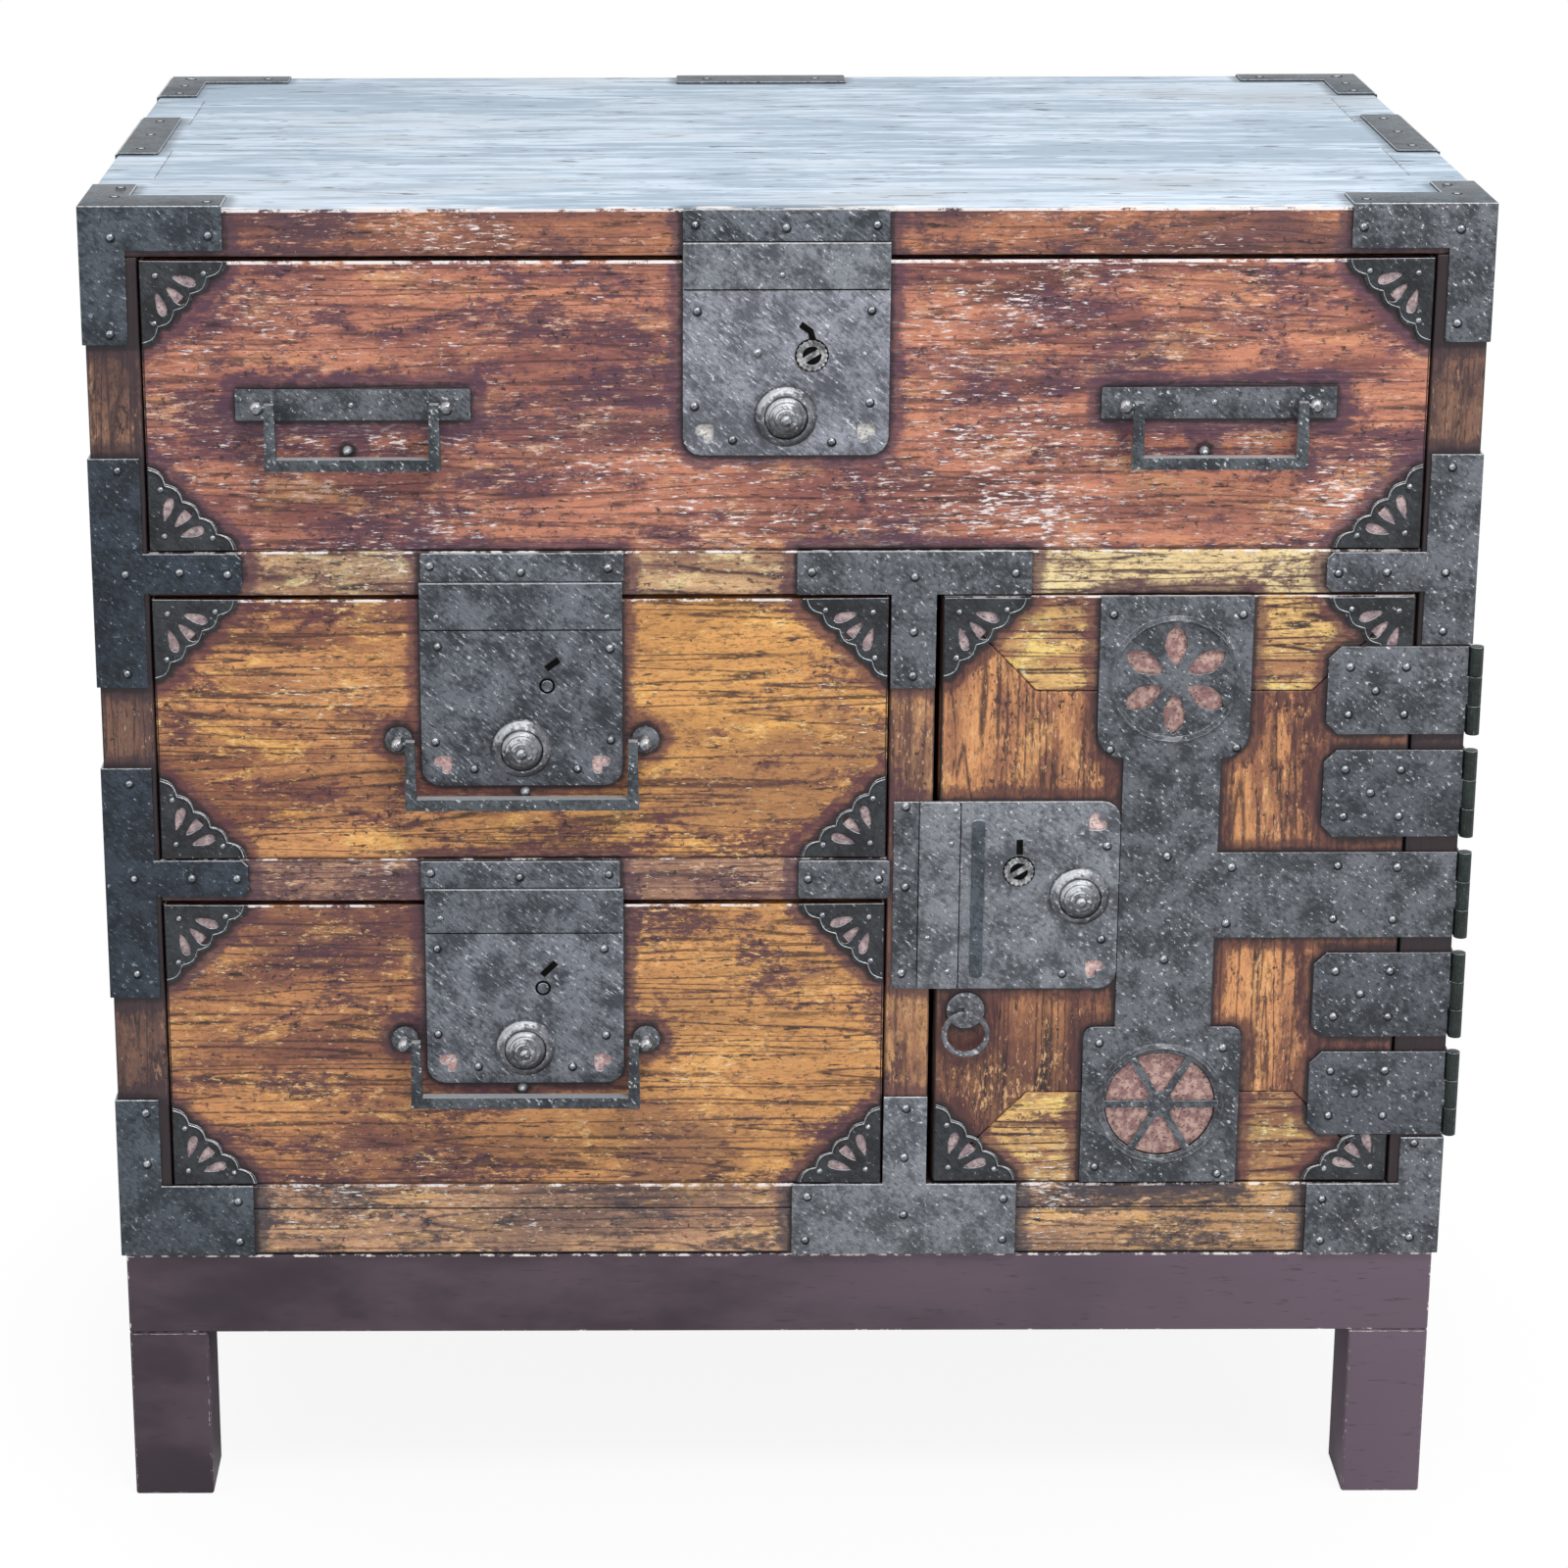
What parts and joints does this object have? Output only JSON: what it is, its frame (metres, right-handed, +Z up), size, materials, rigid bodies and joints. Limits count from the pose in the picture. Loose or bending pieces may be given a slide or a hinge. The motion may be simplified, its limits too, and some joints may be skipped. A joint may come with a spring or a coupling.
{
  "type": "tansu chest",
  "caption": "Wooden tansu with a wide drawer over two half-width drawers and a hinged cupboard door, iron locks, bail handles and corner mounts, on a low legged stand.",
  "frame": {"origin": "on the floor under the middle of the whole object's box", "axes": "+X to the right seen from the front, +Y from the front to the back, +Z up"},
  "size_m": [0.8912, 0.54, 0.8939],
  "materials": {
    "case_wood": "worn golden brown lacquer over open grain",
    "top_wood": "dark lacquered top board, satin to gloss",
    "drawer_wood": "satin brown lacquer, straight open grain",
    "box_wood": "bare pale wood",
    "door_wood": "satin brown lacquer, upright grain",
    "stand_lacquer": "dark aubergine brown lacquer, satin",
    "plate_iron": "blackened plate, brushed and mottled",
    "handle_iron": "blackened forged iron, worn on its edges"
  },
  "bodies": {
    "case": {"top_board": "top_wood", "left_side": "case_wood", "right_side": "case_wood", "back_panel": "case_wood", "upper_shelf": "case_wood", "lower_shelf": "case_wood", "partition": "case_wood", "bottom_board": "case_wood", "base_rail": "case_wood", "stand_frame": "stand_lacquer", "front_left_leg": "stand_lacquer", "front_right_leg": "stand_lacquer", "rear_left_leg": "stand_lacquer", "rear_right_leg": "stand_lacquer", "bracket_top_left": "plate_iron", "bracket_top_right": "plate_iron", "bracket_bottom_left": "plate_iron", "bracket_bottom_right": "plate_iron", "tee_upper": "plate_iron", "tee_lower": "plate_iron", "door_keeper": "plate_iron", "case_leaf_1": "plate_iron", "case_leaf_2": "plate_iron", "case_leaf_3": "plate_iron", "case_leaf_4": "plate_iron", "case_leaf_5": "plate_iron"},
    "drawer_top": {"drawer_top_front": "drawer_wood", "drawer_top_box": "box_wood", "lock_plate_top": "plate_iron", "handle_plate_left": "plate_iron", "handle_plate_right": "plate_iron"},
    "drawer_middle": {"drawer_middle_front": "drawer_wood", "drawer_middle_box": "box_wood", "lock_plate_middle": "plate_iron", "post_middle_left": "handle_iron", "post_middle_right": "handle_iron"},
    "drawer_bottom": {"drawer_bottom_front": "drawer_wood", "drawer_bottom_box": "box_wood", "lock_plate_bottom": "plate_iron", "post_bottom_left": "handle_iron", "post_bottom_right": "handle_iron"},
    "door": {"door_panel": "door_wood", "door_top_clamp": "door_wood", "door_bottom_clamp": "door_wood", "door_centre_plate": "plate_iron", "door_leaf_1": "plate_iron", "door_leaf_2": "plate_iron", "door_leaf_4": "plate_iron", "door_leaf_5": "plate_iron", "lock_plate_door": "plate_iron", "ring_staple": "handle_iron"},
    "lock_button_top": {"button_top": "handle_iron"},
    "lock_button_middle": {"button_middle": "handle_iron"},
    "lock_button_bottom": {"button_bottom": "handle_iron"},
    "lock_button_door": {"button_door": "handle_iron"},
    "handle_top_left": {"bail_top_left": "handle_iron"},
    "handle_top_right": {"bail_top_right": "handle_iron"},
    "handle_middle": {"bail_middle": "handle_iron"},
    "handle_bottom": {"bail_bottom": "handle_iron"},
    "ring_pull": {"door_ring": "handle_iron"}
  },
  "joints": [
    {"name": "drawer_top_slide", "type": "slide", "parent": "case", "child": "drawer_top", "axis": [0, -1, 0], "range_m": [0, 0.4]},
    {"name": "drawer_middle_slide", "type": "slide", "parent": "case", "child": "drawer_middle", "axis": [0, -1, 0], "range_m": [0, 0.4]},
    {"name": "drawer_bottom_slide", "type": "slide", "parent": "case", "child": "drawer_bottom", "axis": [0, -1, 0], "range_m": [0, 0.4]},
    {"name": "door_hinge", "type": "hinge", "parent": "case", "child": "door", "pos_m": [0.4411, -0.25315, 0.436], "axis": [0, 0, 1], "range_deg": [0, 260]},
    {"name": "button_top_push", "type": "slide", "parent": "drawer_top", "child": "lock_button_top", "axis": [0, 1, 0], "range_m": [0, 0.003], "stiffness_N_per_m": 600},
    {"name": "button_middle_push", "type": "slide", "parent": "drawer_middle", "child": "lock_button_middle", "axis": [0, 1, 0], "range_m": [0, 0.003], "stiffness_N_per_m": 600},
    {"name": "button_bottom_push", "type": "slide", "parent": "drawer_bottom", "child": "lock_button_bottom", "axis": [0, 1, 0], "range_m": [0, 0.003], "stiffness_N_per_m": 600},
    {"name": "button_door_push", "type": "slide", "parent": "door", "child": "lock_button_door", "axis": [0, 1, 0], "range_m": [0, 0.003], "stiffness_N_per_m": 600},
    {"name": "bail_top_left_swing", "type": "hinge", "parent": "drawer_top", "child": "handle_top_left", "pos_m": [-0.2767, -0.26505, 0.7665], "axis": [-1, 0, 0], "range_deg": [0, 100]},
    {"name": "bail_top_right_swing", "type": "hinge", "parent": "drawer_top", "child": "handle_top_right", "pos_m": [0.2693, -0.26505, 0.7665], "axis": [-1, 0, 0], "range_deg": [0, 100]},
    {"name": "bail_middle_swing", "type": "hinge", "parent": "drawer_middle", "child": "handle_middle", "pos_m": [-0.17245, -0.26505, 0.544], "axis": [-1, 0, 0], "range_deg": [0, 100]},
    {"name": "bail_bottom_swing", "type": "hinge", "parent": "drawer_bottom", "child": "handle_bottom", "pos_m": [-0.17245, -0.26505, 0.336], "axis": [-1, 0, 0], "range_deg": [0, 100]},
    {"name": "ring_swing", "type": "hinge", "parent": "door", "child": "ring_pull", "pos_m": [0.1178, -0.25835, 0.3549], "axis": [-1, 0, 0], "range_deg": [0, 100]}
  ]
}
